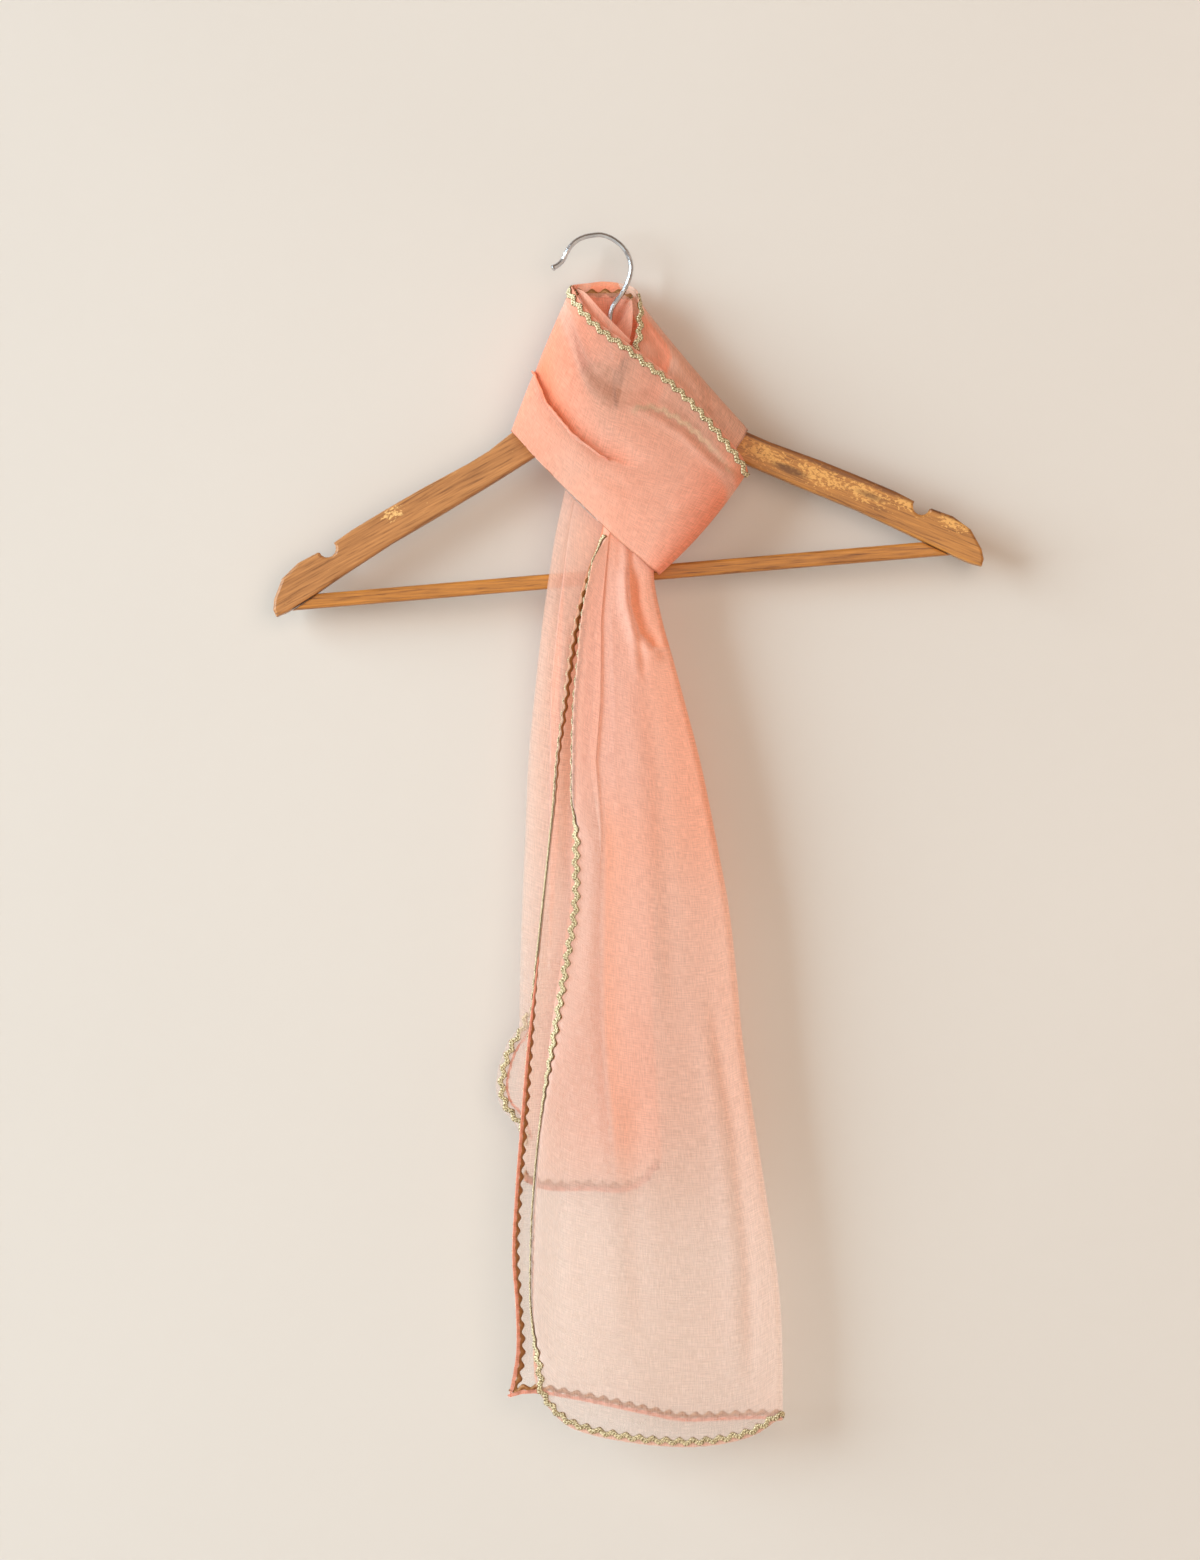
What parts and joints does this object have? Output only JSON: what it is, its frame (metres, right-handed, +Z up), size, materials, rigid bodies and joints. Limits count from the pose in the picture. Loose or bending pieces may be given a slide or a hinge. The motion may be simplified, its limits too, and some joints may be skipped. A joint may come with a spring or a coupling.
{
  "type": "dupatta stole on a clothes hanger",
  "caption": "Sheer peach dupatta stole with scalloped gold braid, looped and tied round the neck of a wooden clothes hanger.",
  "frame": {"origin": "inner top of the steel hook, where a nail or rail carries it", "axes": "+Z up, -Y is the front, +X to the viewer's right from the front"},
  "size_m": [0.4435, 0.0404, 0.7572],
  "materials": {
    "peach_cloth": "sheer, softly matt, fine weave",
    "gold_braid": "metallic thread, scalloped",
    "honey_wood": "satin varnish, worn",
    "bright_steel": "polished wire"
  },
  "bodies": {
    "root": {"front_band": "peach_cloth", "right_shoulder": "peach_cloth", "collar_back": "peach_cloth", "collar_inner": "peach_cloth", "band_return": "peach_cloth", "front_tail": "peach_cloth", "back_tail": "peach_cloth", "band_braid": "gold_braid", "shoulder_braid": "gold_braid", "collar_braid": "gold_braid", "front_tail_braid": "gold_braid", "under_layer_braid": "gold_braid", "back_hem_braid": "gold_braid", "corner_braid": "gold_braid", "hanger_arm_left": "honey_wood", "hanger_arm_right": "honey_wood", "trouser_bar": "honey_wood", "hook": "bright_steel"}
  },
  "joints": []
}
